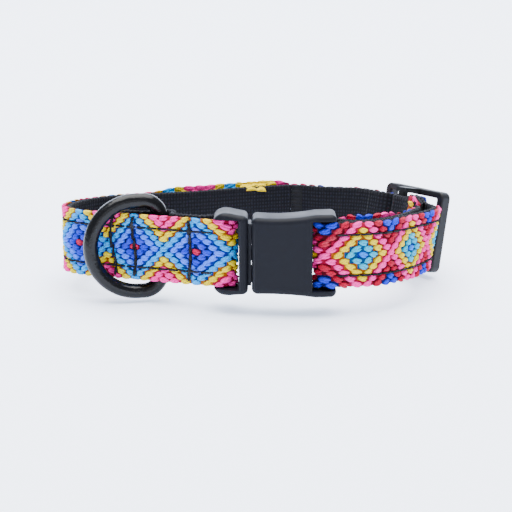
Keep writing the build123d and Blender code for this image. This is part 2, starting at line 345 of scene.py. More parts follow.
def adjuster_rise(distance):
    """The strap climbs to the adjuster frame's own middle, with a hump before its bar."""
    hump = smooth(distance, 0.3, 2.6) - smooth(distance, 4.2, 6.6)
    return ADJUSTER_RISE * smooth(distance, 0, 6) + hump


STRAPS = {
    "left": Strap(LEFT, rise=left_rise),
    "rear_right": Strap(REAR_RIGHT, rear_lean, rise=rear_rise),
    "loop": Strap(LOOP, loop_lean),
    "over_bar": Strap(over_bar(), local=True, rise=adjuster_rise),
    "sewn_end": Strap(sewn_end(), local=True, rise=adjuster_rise),
}


# Materials
def shader(name, **inputs):
    """A new material and its Principled shader, with some of its inputs set."""
    material = bpy.data.materials.new(name)
    material.use_nodes = True
    nodes = material.node_tree.nodes
    bsdf = nodes["Principled BSDF"]
    for key, value in inputs.items():
        bsdf.inputs[key.replace("_", " ")].default_value = value
    return material, bsdf


def add(material, kind, inputs=None, **settings):
    """One more node with its settings, and its inputs linked or set."""
    node = material.node_tree.nodes.new(kind)
    for key, value in settings.items():
        setattr(node, key, value)
    for key, value in (inputs or {}).items():
        if isinstance(value, bpy.types.NodeSocket):
            material.node_tree.links.new(value, node.inputs[key])
        else:
            node.inputs[key].default_value = value
    return node


def mix_colour(material, amount, first, second):
    """A colour between two, by an amount socket."""
    node = add(material, "ShaderNodeMix", data_type="RGBA")
    material.node_tree.links.new(amount, node.inputs[0])
    for socket, value in ((node.inputs[6], first), (node.inputs[7], second)):
        if isinstance(value, bpy.types.NodeSocket):
            material.node_tree.links.new(value, socket)
        else:
            socket.default_value = (*value, 1.0)
    return node.outputs[2]


def scaled(material, source, factors):
    """A vector stretched along each axis."""
    return add(material, "ShaderNodeVectorMath", {0: source, 1: factors},
               operation="MULTIPLY").outputs[0]


def join_sum(material, first, second, weight):
    """first plus second times a weight."""
    return add(material, "ShaderNodeMath", {0: second, 1: weight, 2: first},
               operation="MULTIPLY_ADD").outputs[0]


def yarn(name, colour, painted_shade_colour):
    """Twisted cotton: plies that spiral along UV X, fine fibres and uneven dye, with painted shade in
    the grooves between plies and, where rise is low, in the gaps between knots.
    """
    material, bsdf = shader(name, Roughness=0.8, Sheen_Weight=0.05, Sheen_Roughness=0.5)
    bsdf.inputs["Specular IOR Level"].default_value = 0.12
    uv = add(material, "ShaderNodeUVMap", uv_map="UVMap").outputs[0]
    place = add(material, "ShaderNodeTexCoord").outputs["Object"]
    plies = add(material, "ShaderNodeTexWave",
                {"Vector": uv, "Scale": 0.9, "Distortion": 0.8, "Detail": 1.0, "Detail Scale": 2.0},
                wave_type="BANDS", bands_direction="DIAGONAL").outputs["Fac"]
    fibres = add(material, "ShaderNodeTexNoise",
                 {"Vector": scaled(material, uv, (1.0, 9.0, 1.0)), "Scale": 4.0, "Detail": 4.0}
                 ).outputs["Fac"]
    dye = add(material, "ShaderNodeTexNoise", {"Vector": place, "Scale": 420.0, "Detail": 2.0}
              ).outputs["Fac"]
    # rise: how far a point stands out of its neighbours; low rise is painted as shade below
    rise = add(material, "ShaderNodeAttribute", attribute_name="rise").outputs["Fac"]
    # painted shade: the grooves between plies go down to 0.62 of the way to the yarn's own colour
    ply_groove_shading = add(material, "ShaderNodeMapRange",
                  {"Value": join_sum(material, plies, fibres, 0.8), 1: 0.2, 2: 1.3, 3: 0.62, 4: 1.0}
                  ).outputs[0]
    # painted shade: where rise is low, in the gaps between knots and on the beds below them
    knot_gap_shading = add(material, "ShaderNodeMapRange", {"Value": rise, 1: 0.0, 2: 0.8, 3: 0.0, 4: 1.0}
                   ).outputs[0]
    # depth is 1 where a point is clear of all painted shade and 0 for the full shade colour
    depth = add(material, "ShaderNodeMath", {0: ply_groove_shading, 1: knot_gap_shading}, operation="MULTIPLY").outputs[0]
    # colour painted from the shade colour up to the yarn's own colour
    body = mix_colour(material, depth, painted_shade_colour, colour)
    pale = tuple(min(1.0, 0.85 * c + 0.12) for c in colour)
    dyed = add(material, "ShaderNodeMapRange", {"Value": dye, 1: 0.5, 2: 0.8, 3: 0.0, 4: 0.35}
               ).outputs[0]
    faded = add(material, "ShaderNodeMath", {0: dyed, 1: depth}, operation="MULTIPLY").outputs[0]
    links = material.node_tree.links
    links.new(mix_colour(material, faded, body, pale), bsdf.inputs["Base Color"])
    bump = add(material, "ShaderNodeBump",
               {"Height": join_sum(material, plies, fibres, 0.7), "Strength": 0.5,
                "Distance": 0.0001})
    links.new(bump.outputs[0], bsdf.inputs["Normal"])
    return material


def webbing_cloth(name):
    """Black nylon webbing: ribs of chevrons in UV, in millimetres, with fine filaments, and painted
    shade that darkens the weave's grooves.
    """
    material, bsdf = shader(name, Roughness=0.7, Sheen_Weight=0.03, Sheen_Roughness=0.4)
    bsdf.inputs["Specular IOR Level"].default_value = 0.12
    uv = add(material, "ShaderNodeUVMap", uv_map="UVMap").outputs[0]
    ribs = add(material, "ShaderNodeTexWave", {"Vector": scaled(material, uv, (1.0, 0.0, 0.0)),
                                               "Scale": 0.42, "Distortion": 1.2, "Detail": 2.0},
               wave_type="BANDS", bands_direction="X").outputs["Fac"]
    picks = add(material, "ShaderNodeTexWave", {"Vector": scaled(material, uv, (0.0, 1.0, 0.0)),
                                                "Scale": 0.36, "Distortion": 0.8, "Detail": 2.0},
                wave_type="BANDS", bands_direction="Y").outputs["Fac"]
    fibres = add(material, "ShaderNodeTexNoise",
                 {"Vector": scaled(material, uv, (1.0, 6.0, 1.0)), "Scale": 5.0, "Detail": 5.0}
                 ).outputs["Fac"]
    weave = add(material, "ShaderNodeMath", {0: ribs, 1: picks}, operation="MULTIPLY").outputs[0]
    height = join_sum(material, weave, fibres, 0.5)
    # painted shade: low parts of the weave are painted near black, the ridges lighter
    shade = add(material, "ShaderNodeMapRange", {"Value": height, 1: 0.15, 2: 1.1, 3: 0.0, 4: 1.0}
                ).outputs[0]
    links = material.node_tree.links
    links.new(mix_colour(material, shade, (0.0015, 0.0015, 0.003), (0.011, 0.012, 0.019)),
              bsdf.inputs["Base Color"])
    bump = add(material, "ShaderNodeBump", {"Height": height, "Strength": 0.6, "Distance": 0.0002})
    links.new(bump.outputs[0], bsdf.inputs["Normal"])
    return material


def moulded(name, dark, light, roughness, shine, grain=0.25, scale=1500.0, depth=0.00006):
    """Moulded plastic or enamel: fine spark texture, faint flow marks, and sharp convex edges painted
    lighter, partly as scuffing from handling and partly as a painted edge highlight.
    """
    material, bsdf = shader(name)
    bsdf.inputs["Specular IOR Level"].default_value = shine
    place = add(material, "ShaderNodeTexCoord").outputs["Object"]
    spark = add(material, "ShaderNodeTexNoise", {"Vector": place, "Scale": scale, "Detail": 3.0}
                ).outputs["Fac"]
    flow = add(material, "ShaderNodeTexNoise", {"Vector": scaled(material, place, (1.0, 1.0, 0.35)),
                                                "Scale": 160.0, "Detail": 4.0}).outputs["Fac"]
    edge_pointiness = add(material, "ShaderNodeNewGeometry").outputs["Pointiness"]
    # scuffs and painted highlight: sharp convex edges are painted lighter than the face
    edge_scuff_and_highlight = add(material, "ShaderNodeMapRange", {"Value": edge_pointiness, 1: 0.52, 2: 0.62, 3: 0.0, 4: 0.6}
               ).outputs[0]
    links = material.node_tree.links
    base = mix_colour(material, flow, dark, light)
    # the lighter colour of the scuffed and painted-highlight edges
    edge = tuple(min(1.0, 1.9 * c + 0.01) for c in light)
    links.new(mix_colour(material, edge_scuff_and_highlight, base, edge), bsdf.inputs["Base Color"])
    rough = add(material, "ShaderNodeMapRange",
                {"Value": flow, 1: 0.3, 2: 0.7, 3: roughness - 0.07, 4: roughness + 0.07}).outputs[0]
    links.new(rough, bsdf.inputs["Roughness"])
    bump = add(material, "ShaderNodeBump", {"Height": spark, "Strength": grain, "Distance": depth})
    links.new(bump.outputs[0], bsdf.inputs["Normal"])
    return material


# Each yarn: its own colour, then the darker colour that its shader paints as shade in ply grooves and
# in the gaps between knots.
YARNS = {
    "royal": yarn("yarn_royal_blue", (0.008, 0.03, 0.68), (0.0, 0.002, 0.09)),
    "periwinkle": yarn("yarn_periwinkle", (0.06, 0.18, 0.98), (0.004, 0.015, 0.25)),
    "cyan": yarn("yarn_cyan", (0.0, 0.34, 0.84), (0.0, 0.03, 0.2)),
    "sky": yarn("yarn_sky_blue", (0.0, 0.2, 0.85), (0.0, 0.02, 0.25)),
    "turquoise": yarn("yarn_turquoise", (0.0, 0.42, 0.66), (0.0, 0.05, 0.16)),
    "yellow": yarn("yarn_yellow", (0.78, 0.6, 0.0), (0.3, 0.08, 0.0)),
    "pink": yarn("yarn_pink", (0.98, 0.03, 0.38), (0.3, 0.0, 0.03)),
    "crimson": yarn("yarn_crimson", (0.42, 0.0, 0.03), (0.09, 0.0, 0.006)),
    "red": yarn("yarn_red_violet", (0.5, 0.005, 0.06), (0.12, 0.0, 0.01)),
}
BLACK_THREAD = yarn("sewing_thread_black", (0.006, 0.006, 0.01), (0.001, 0.001, 0.002))
WEBBING_CLOTH = webbing_cloth("black_webbing")
BUCKLE_PLASTIC = moulded("buckle_plastic", (0.0065, 0.007, 0.0098), (0.0095, 0.0102, 0.014),
                         roughness=0.42, shine=0.07)
ADJUSTER_PLASTIC = moulded("adjuster_plastic", (0.006, 0.0062, 0.008), (0.01, 0.0105, 0.013),
                           roughness=0.5, shine=0.2)
RING_ENAMEL = moulded("ring_enamel", (0.002, 0.002, 0.0025), (0.005, 0.005, 0.006),
                      roughness=0.22, shine=0.2, grain=0.8, scale=1100.0, depth=0.00011)

# The colour of each ring of knots, from a diamond's middle out
LEFT_RINGS = ("red", "royal", "periwinkle", "cyan", "yellow", "pink")
RIGHT_RINGS = ("sky", "turquoise", "yellow", "pink", "crimson", "royal")


# Meshes
def piece(name, points, faces, materials, uvs=None, slots=None, rise=None):
    """A mesh object from row-frame points; rise says how far each stands out of its neighbours, and
    the yarn material paints shade where it is low.
    """
    mesh = bpy.data.meshes.new(name)
    mesh.from_pydata([tuple(p) for p in points], [], faces)
    for material in materials:
        mesh.materials.append(material)
    if slots is not None:
        mesh.polygons.foreach_set("material_index", slots)
    if uvs is not None:
        layer = mesh.uv_layers.new(name="UVMap")
        loops = np.empty(len(mesh.loops), dtype=np.int32)
        mesh.loops.foreach_get("vertex_index", loops)
        layer.data.foreach_set("uv", np.asarray(uvs, np.float32)[loops].ravel())
    if rise is not None:
        mesh.attributes.new("rise", "FLOAT", "POINT").data.foreach_set("value", rise)
    mesh.polygons.foreach_set("use_smooth", [True] * len(mesh.polygons))
    mesh.validate()
    mesh.update()
    obj = bpy.data.objects.new(name, mesh)
    bpy.context.scene.collection.objects.link(obj)
    return obj


def rounded_section(width, inner, outer, corner, across):
    """Points round a strap's section as (offset, level), starting on the outer face."""
    half = width / 2 - corner
    flat = [-half + 2 * half * k / across for k in range(across + 1)]
    middle = (inner + outer) / 2
    depth = (outer - inner) / 2
    bend = [radians(a) for a in (30, 60, 90, 120, 150)]
    section = [(outer, level) for level in flat]
    section += [(middle + depth * cos(a), half + corner * sin(a)) for a in bend]
    section += [(inner, level) for level in reversed(flat)]
    section += [(middle - depth * cos(a), -half - corner * sin(a)) for a in bend]
    return section


def swept(name, strap, begin, finish, step, section, relief, material):
    """A closed band along a strap, whose section is displaced by relief(distance, offset, level)."""
    count = max(2, round((finish - begin) / step))
    rows, uvs = [], []
    for k in range(count + 1):
        distance = begin + (finish - begin) * k / count
        for n, (offset, level) in enumerate(section):
            rows.append((distance, *relief(distance, offset, level)))
            uvs.append((distance, level + (40.0 if n > len(section) // 2 else 0.0)))
    size = len(section)
    faces = [(k * size + n, k * size + (n + 1) % size,
              (k + 1) * size + (n + 1) % size, (k + 1) * size + n)
             for k in range(count) for n in range(size)]
    faces.append(tuple(range(size)))
    faces.append(tuple(count * size + n for n in reversed(range(size))))
    return piece(name, strap.points(rows), faces, [material], uvs)


def woven(middle):
    """Ribs and picks of webbing about a middle offset, with looped yarn along its edges."""
    def relief(distance, offset, level):
        rib = cos(2 * pi * distance / 1.2 + 1.2 * cos(2 * pi * level / 2.6))
        pick = cos(2 * pi * level / 1.3)
        side = 1 if offset > middle else -1
        edge = smooth(abs(level), 6.8, 7.3)
        out = offset + side * (0.035 * rib * (0.6 + 0.4 * pick) - 0.035)
        return out, level + edge * (1 if level > 0 else -1) * (0.07 * rib - 0.05)
    return relief


def webbing(name, strap, begin, finish, inner=-WEBBING, outer=0.0):
    """One length of black webbing."""
    section = rounded_section(STRAP_WIDTH, inner, outer, 0.45, 34)
    return swept(name, strap, begin, finish, 0.3, section, woven((inner + outer) / 2), WEBBING_CLOTH)


# Knots
LOBE_RINGS = 8
LOBE_SIDES = 10
KNOT_LENGTH = 1.04
KNOT_LOBE = 0.42
KNOT_HEIGHT = 0.54
KNOT_ASIDE = 0.25
KNOT_SEAT = 0.62
KNOT_EDGE = 7.25
BED_HEIGHT = 0.4

# Gathered end of the left band: where it lies along the strap and across it
FINISH_BEADS = 34
FINISH_BEGIN = 4.4
FINISH_END = 11.8
FINISH_LEVEL = 7.35


def lobe_template():
    """A long bead: its points with X along it, and its faces."""
    points = [(-1.0, 0.0, 0.0)]
    for r in range(1, LOBE_RINGS):
        angle = pi * (r / LOBE_RINGS - 0.5)
        thick = cos(angle) ** 0.75
        points += [(sin(angle), thick * cos(2 * pi * n / LOBE_SIDES),
                    thick * sin(2 * pi * n / LOBE_SIDES)) for n in range(LOBE_SIDES)]
    points.append((1.0, 0.0, 0.0))
    last = len(points) - 1
    faces = []
    for n in range(LOBE_SIDES):
        m = (n + 1) % LOBE_SIDES
        faces.append((0, 1 + m, 1 + n))
        faces.append((last, last - LOBE_SIDES + n, last - LOBE_SIDES + m))
        for r in range(LOBE_RINGS - 2):
            a, b = 1 + r * LOBE_SIDES, 1 + (r + 1) * LOBE_SIDES
            faces.append((a + n, a + m, b + m, b + n))
    return points, faces


LOBE_POINTS, LOBE_FACES = lobe_template()


class Pattern:
    """Where the columns of knots fall along a strap, and the yarn of each knot.

    Columns are numbered from the middle of one diamond; marks give the distance of every sixth.
    """

    def __init__(self, marks, rows, across, rings, special=None):
        self.columns = [column for column, _ in marks]
        self.places = [place for _, place in marks]
        self.rows = rows
        self.across = across
        self.rings = rings
        self.special = special or (lambda distance: None)

    def shifted(self, amount):
        """The same pattern, with distances measured from another point."""
        marks = [(column, place + amount) for column, place in zip(self.columns, self.places)]
        return Pattern(marks, self.rows, self.across, self.rings,
                       lambda distance: self.special(distance - amount))

    def place(self, column):
        """Distance of a column."""
        first, last = self.columns[0], self.columns[-1]
        beyond = min(0.0, column - first) + max(0.0, column - last)
        return float(np.interp(column, self.columns, self.places)) + beyond * KNOT_STEP

    def column(self, distance):
        """Column number, with its fraction, at a distance."""
        first, last = self.places[0], self.places[-1]
        beyond = min(0.0, distance - first) + max(0.0, distance - last)
        return float(np.interp(distance, self.places, self.columns)) + beyond / KNOT_STEP

    def across_diamond(self, column):
        """Signed columns from the nearest diamond's middle."""
        return (column + KNOT_REPEAT // 2) % KNOT_REPEAT - KNOT_REPEAT // 2

    def yarn(self, column, row, distance):
        """The yarn of the knot in a column and a row."""
        ring = (abs(self.across_diamond(column)) + abs(row)) // 2
        return self.special(distance) or self.rings[min(ring, len(self.rings) - 1)]


class Band:
    """The knotted band on one stretch of strap."""

    def __init__(self, strap, begin, finish, pattern, face=BAND, base=0.0, crosses=(), lift=None,
                 swell=None, seed=1):
        self.strap = strap
        self.begin = begin
        self.finish = finish
        self.pattern = pattern
        self.base = base
        self.out = 1 if face > base else -1
        self.crosses = crosses
        self.lift = lift or (lambda distance: 0.0)
        self.swell = swell or (lambda distance: 1.0)
        self.random = random.Random(seed)

    def pressed(self, distance, level):
        """How far the thread pulls the knots in."""
        depth = 0.5 * exp(-((abs(level) - STITCH_LEVEL) / 0.4) ** 2)
        for cross in self.crosses:
            depth = max(depth, 0.6 * exp(-((distance - cross) / 0.5) ** 2))
        return depth

    def row(self, distance, height, level):
        """A strap row for a height above the webbing, after the thread has pulled it in."""
        height -= self.pressed(distance, level) * smooth(height, 0.1, 0.7)
        height = max(0.1, height * self.swell(distance))
        return distance, self.base + self.out * height, level + self.lift(distance)

    def bared(self, distance, level):
        """How far the yarn of a lifted edge is seen from behind, 0 to 1."""
        return smooth(abs(level), 5.6, 6.4) * min(1.0, max(0.0, 1.6 * self.lift(distance)))

    def lattice(self):
        """Each knot's column, row, distance and level."""
        pattern = self.pattern
        first, last = int(pattern.column(self.begin)) - 1, int(pattern.column(self.finish)) + 1
        for column in range(first, last + 1):
            distance = pattern.place(column)
            if self.begin + 0.4 < distance < self.finish - 0.4:
                for row in range(-pattern.rows, pattern.rows + 1):
                    if (column + row) % 2 == 0:
                        yield column, row, distance, row * pattern.across

    def knots(self, name):
        """Every knot as two beads side by side."""
        names = list(YARNS)
        bead = Beads()
        for column, row, distance, level in self.lattice():
            slot = names.index(self.pattern.yarn(column, row, distance))
            aside = self.pattern.across_diamond(column)
            slope = 1 if aside * row < 0 or (row == 0 and aside < 0) else -1
            tilt = radians(slope * (18 + self.random.uniform(-10, 10)))
            stretch = (self.pattern.place(column + 1) - distance) / KNOT_STEP
            place = (distance + self.random.uniform(-0.08, 0.08),
                     level + self.random.uniform(-0.07, 0.07))
            self.knot(bead, place, tilt, stretch ** 0.7, slot)
        return bead.piece(name, self)

    def knot(self, beads, place, tilt, stretch, slot):
        """Two beads that cross each other a little."""
        swell = self.random.uniform(0.92, 1.06)
        for lobe in (-1, 1):
            size = (KNOT_LENGTH * stretch * swell * self.random.uniform(0.93, 1.05),
                    KNOT_LOBE * swell, KNOT_HEIGHT * self.random.uniform(0.9, 1.08))
            twist = tilt + lobe * radians(self.random.uniform(3, 11))
            beads.add(place, size, twist, lobe * KNOT_ASIDE, self.random.uniform(0, 1), slot)

    def bed(self, name):
        """The threads that the knots are tied over, in the colours above them; their rise is 0 except
        where a lifted edge is bared, so they are painted in the yarns' shade colours, as shade in the
        gaps between knots.
        """
        names = list(YARNS)
        pattern = self.pattern
        half = pattern.rows * pattern.across + 0.35
        cells = 4 * pattern.rows + 2
        count = max(2, round(2 * abs(pattern.column(self.finish) - pattern.column(self.begin))))
        rows, uvs, faces, slots, rise = [], [], [], [], []
        for k in range(count + 1):
            distance = self.begin + (self.finish - self.begin) * k / count
            for n in range(-1, cells + 2):
                level = -half + 2 * half * min(max(n, 0), cells) / cells
                height = BED_HEIGHT if 0 <= n <= cells else 0.0
                rows.append(self.row(distance, height, level))
                uvs.append((distance, level))
                # rise 0 gives the bed painted shade, except where a lifted edge is bared
                rise.append(0.9 * self.bared(distance, level))
        size = cells + 3
        for k in range(count):
            distance = self.begin + (self.finish - self.begin) * (k + 0.5) / count
            for n in range(size - 1):
                level = -half + 2 * half * (n - 0.5) / cells
                corner = k * size + n
                quad = (corner, corner + 1, corner + size + 1, corner + size)
                faces.append(quad if self.out > 0 else tuple(reversed(quad)))
                slots.append(names.index(self.nearest(distance, level)))
        return piece(name, self.strap.points(rows), faces, list(YARNS.values()), uvs, slots, rise)

    def nearest(self, distance, level):
        """The yarn of the knot nearest to a place on the band."""
        column = self.pattern.column(distance)
        row = round(level / self.pattern.across)
        row = max(-self.pattern.rows, min(self.pattern.rows, row))
        whole = round(column)
        if (whole + row) % 2:
            whole += 1 if column > whole else -1
        return self.pattern.yarn(whole, row, distance)


def kept_in(level):
    """A level that flattens out at the band's edges."""
    beyond = abs(level) - KNOT_EDGE
    if beyond <= 0:
        return level
    return (KNOT_EDGE + 0.5 * tanh(beyond / 0.5)) * (1 if level > 0 else -1)


class Beads:
    """Beads gathered for one mesh."""

    def __init__(self):
        self.rows = []
        self.uvs = []
        self.rise = []
        self.faces = []
        self.slots = []

    def add(self, place, size, twist, aside, spin, slot):
        """One bead, lying along the strap before its twist."""
        start = len(self.rows)
        for x, y, z in LOBE_POINTS:
            along = size[0] * x + 0.3 * aside
            across = size[1] * y + aside * (1 - 0.3 * x * x)
            height = KNOT_SEAT + size[2] * z - 0.28 * x * x
            self.rows.append((place[0] + along * cos(twist) - across * sin(twist), height,
                              place[1] + along * sin(twist) + across * cos(twist)))
            self.uvs.append((along + spin, 0.45 * atan2(z, y) + spin))
            # rise falls toward each bead's foot, next to the webbing, where the yarn material paints
            # shade
            self.rise.append(min(1.0, max(0.0, (height - 0.2) / 0.75)))
        self.faces += [tuple(start + n for n in face) for face in LOBE_FACES]
        self.slots += [slot] * len(LOBE_FACES)

    def piece(self, name, band):
        """The mesh, laid on a band."""
        rows = [band.row(s, height, kept_in(level)) for s, height, level in self.rows]
        # a bared edge keeps a high rise, so it gets no painted shade
        rise = [max(high, band.bared(s, level)) for high, (s, _, level) in zip(self.rise, self.rows)]
        faces = self.faces if band.out > 0 else [tuple(reversed(face)) for face in self.faces]
        return piece(name, band.strap.points(rows), faces, list(YARNS.values()), self.uvs,
                     self.slots, rise)


# Thread
def tube(points, radius, sides=8):
    """Points and faces of a round thread along row-frame points, with closed ends."""
    points = np.asarray(points, float)
    way = np.gradient(points, axis=0)
    way /= np.linalg.norm(way, axis=1)[:, None]
    first = np.cross(way, np.array((0.21, 0.37, 0.9)))
    first /= np.linalg.norm(first, axis=1)[:, None]
    second = np.cross(way, first)
    count = len(points)
    rings = []
    for k in range(count):
        size = radius * (0.55 if k in (0, count - 1) else 1.0)
        for n in range(sides):
            angle = 2 * pi * n / sides
            rings.append(points[k] + size * (cos(angle) * first[k] + sin(angle) * second[k]))
    faces = [(k * sides + n, k * sides + (n + 1) % sides,
              (k + 1) * sides + (n + 1) % sides, (k + 1) * sides + n)
             for k in range(count - 1) for n in range(sides)]
    faces.append(tuple(reversed(range(sides))))
    faces.append(tuple((count - 1) * sides + n for n in range(sides)))
    return rings, faces


def stitched(name, strap, stitches, radius=THREAD):
    """Many short stitches, each a list of distance, offset and level, as one piece."""
    points, faces, uvs = [], [], []
    for stitch in stitches:
        ring_points, ring_faces = tube(strap.points(stitch), radius * 0.001)
        start = len(points)
        points += ring_points
        faces += [tuple(start + n for n in face) for face in ring_faces]
        for k in range(len(ring_points)):
            uvs.append((0.3 * (k // 8), 0.16 * (k % 8)))
    # rise 1 everywhere: no painted gap shade on the thread, only the painted shade in its ply grooves
    return piece(name, points, faces, [BLACK_THREAD], uvs, rise=[1.0] * len(points))


def long_rows(band, begin, finish, seed, stitch=2.6, gap=0.2, height=0.86):
    """Stitches of the two long rows of a band."""
    chance = random.Random(seed)
    made = []
    for level in (-STITCH_LEVEL, STITCH_LEVEL):
        distance = begin
        while distance + stitch < finish:
            drift = chance.uniform(-0.1, 0.1)
            made.append([])
            for k in range(9):
                part = k / 8
                s = distance + (stitch - gap) * part
                rise = height - 0.5 * (2 * part - 1) ** 6 + chance.uniform(-0.015, 0.015)
                made[-1].append((s, band.base + band.out * rise,
                                 level + drift * (1 - part) + band.lift(s)))
            distance += stitch
    return made


def cross_rows(place, face, out, seed, wander=0.12, height=1.0, passes=2, half=6.9):
    """Stitches sewn across the strap over one another, on a face that looks out (+1) or in (-1)."""
    chance = random.Random(seed)
    made = []
    for run in range(passes):
        level = -half + 0.5 * run
        aside = (run - (passes - 1) / 2) * 0.3
        while level < half - 0.6:
            reach = min(2.3, half - level)
            lean = chance.uniform(-wander, wander)
            made.append([])
            for k in range(9):
                part = k / 8
                rise = height - 0.5 * (2 * part - 1) ** 6
                s = place + aside + lean * (part - 0.5) + wander * 2 * sin(level / 2.4 + seed)
                made[-1].append((s, face + out * rise, level + reach * part))
            level += 2.1
    return made


# The straps with their bands, stretch by stretch
LEFT_MARKS = (
    (6, -2.85), (0, 5.45), (-6, 13.15), (-12, 20.4), (-18, 27.25), (-24, 34.2), (-30, 41.0),
    (-36, 46.5), (-42, 51.8), (-48, 58.5), (-54, 64.8), (-60, 72.3), (-66, 80.7), (-72, 88.5),
    (-78, 97.0),
)
RIGHT_MARKS = (
    (-36, -38.0), (-30, -32.8), (-24, -23.6), (-18, -16.7), (-12, -10.0), (-6, -1.15), (0, 7.35),
    (6, 14.25), (12, 20.85), (18, 27.4), (24, 33.0),
)
LEFT_CROSSES = tuple(LEFT_OUTER - line for line in CROSS_LINES)
BAND_ON_TURN = LEFT_OUTER + pi * TURN_RADIUS


def left_end_yarn(distance):
    """The band's last knots at the rear are tied in yellow and pink."""
    if distance > 12.5:
        return None
    return "yellow" if distance > 4.0 else "pink"


def rear_lift(distance):
    """Toward the rear the knots stand above the webbing's edge, beside the ring below it."""
    return 0.9 * smooth(distance, -1.5, 3.5) * (1 - smooth(distance, 29, 36)) - 0.3 * (
        smooth(distance, 34, 40) - smooth(distance, 50, 58))


def loop_lift(distance):
    """Behind the front layer and past the buckle the knots stand above the webbing's edge."""
    back = LOOP_INSIDE - distance
    return 0.85 * (smooth(back, 10.5, 12.5) - smooth(back, 22.0, 28.0))


def loop_swell(distance):
    """The knots fan out a little where the strap turns round the housing's bar."""
    back = LOOP_INSIDE - distance
    return 1 + 0.3 * (smooth(back, -2.0, 1.0) - smooth(back, 5.0, 8.0))


LEFT_PATTERN = Pattern([(column, LEFT_OUTER - back) for column, back in reversed(LEFT_MARKS)],
                       6, 1.2, LEFT_RINGS, left_end_yarn)
RIGHT_PATTERN = Pattern(RIGHT_MARKS, 5, 1.36, RIGHT_RINGS)
LOOP_OUTSIDE = LOOP.length - LOOP_INSIDE

BANDS = {
    "left": Band(STRAPS["left"], -SPLIT / 2, BAND_ON_TURN, LEFT_PATTERN, crosses=LEFT_CROSSES,
                 lift=rear_lift, seed=3),
    "rear_right": Band(STRAPS["rear_right"], 0.0, REAR_RIGHT.length + SPLIT / 2,
                       RIGHT_PATTERN.shifted(-LOOP_OUTSIDE - ADJUSTER_RUN), seed=4),
    "loop": Band(STRAPS["loop"], 0.0, LOOP.length, RIGHT_PATTERN.shifted(LOOP_INSIDE),
                 lift=loop_lift, swell=loop_swell, seed=5),
    "over_bar": Band(STRAPS["over_bar"], 0.0, over_bar().length,
                     RIGHT_PATTERN.shifted(-LOOP_OUTSIDE), seed=6),
    "sewn_end": Band(STRAPS["sewn_end"], 0.0, 4.2, RIGHT_PATTERN.shifted(41.0),
                     face=-WEBBING - BAND, base=-WEBBING, seed=7),
}


def local_point(x):
    """A row-frame point on the adjuster's middle line."""
    return tuple(to_row([tuple(adjuster_matrix() @ Vector((x, 0, 0)))])[0])


PIVOT = Vector(JOINTS["collar_open"]["pos_m"])
REAR_BLEND = (tuple(PIVOT + Vector((0.012, 0, 0))), tuple(PIVOT - Vector((0.012, 0, 0))))
NEAR_BLEND = (local_point(-12.5), local_point(-6.5))
FAR_BLEND = (local_point(6.5), local_point(12.5))


def settle(obj, move, *nodes):
    """Attaches a piece to the body it rides on, or, given two bodies and a line, only bakes its
    transform; and hides the nodes that it stands for.
    """
    if isinstance(move, str):
        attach(obj, move)
    else:
        bodies, line = move
        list(bodies)
        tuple(line[0])
        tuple(line[1])
        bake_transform(obj)
    if nodes:
        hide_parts(*nodes)


REAR = (("root", "left_side"), REAR_BLEND)
NEAR = (("root", "adjuster"), NEAR_BLEND)
FAR = (("adjuster", "root"), FAR_BLEND)


def dress(name, node, move, begin, finish):
    """Webbing, bed and knots of one stretch, and the nodes that they stand for."""
    band = BANDS[name]
    settle(webbing(node + "_weave", band.strap, begin, finish), move, node + "_webbing")
    settle(band.knots(node + "_knots"), move, node + "_knotted_band")
    settle(band.bed(node + "_knot_bed"), move)


def dress_left():
    """Left strap, its long rows and its three cross lines."""
    dress("left", "left_strap", REAR, -SPLIT / 2, LEFT.length)
    band = BANDS["left"]
    rows = stitched("left_strap_long_rows", band.strap,
                    long_rows(band, 1.0, LEFT_OUTER - 1.6, 11))
    settle(rows, REAR, "left_strap_stitching")
    nodes = ("buckle_cross_stitching", "ring_cross_stitching", "fold_end_cross_stitching")
    for n, (node, place) in enumerate(zip(nodes, LEFT_CROSSES)):
        made = cross_rows(place, 0.0, 1, 21 + n, wander=0.12 + 0.1 * n)
        made += cross_rows(place, INNER, -1, 31 + n, height=0.25)
        settle(stitched(node + "_thread", band.strap, made), "left_side", node)


def finishing_knot():
    """The band's gathered end, a lump of yellow yarn that hangs over the rear strap's edge."""
    chance = random.Random(51)
    rows, faces, uvs, rise = [], [], [], []
    for _ in range(FINISH_BEADS):
        part = chance.random()
        around = chance.uniform(-0.5, 1.25) * pi
        swell = sin(pi * min(1.0, 0.12 + part))
        middle = (FINISH_BEGIN + (FINISH_END - FINISH_BEGIN) * part,
                  -0.3 - (0.55 + 0.6 * swell) * cos(around + pi / 2 - 0.2),
                  FINISH_LEVEL + (0.35 + 0.55 * swell) * sin(around))
        tilt = radians(chance.uniform(-24, 24))
        length = chance.uniform(1.0, 1.5)
        start = len(rows)
        for x, y, z in LOBE_POINTS:
            rows.append((middle[0] + length * x * cos(tilt), middle[1] + KNOT_LOBE * y,
                         middle[2] + KNOT_LOBE * z + 0.6 * length * x * sin(tilt) - 0.25 * x * x))
            uvs.append((length * x + part, 0.45 * atan2(z, y)))
            # rise runs from 0.5 to 1 across each bead, so the yarn material paints its lower-level
            # side in shade
            rise.append(0.75 + 0.25 * z)
        faces += [tuple(start + n for n in face) for face in LOBE_FACES]
    knot = piece("left_strap_finishing_knot", STRAPS["left"].points(rows), faces,
                 [YARNS["yellow"]], uvs, rise=rise)
    settle(knot, REAR)


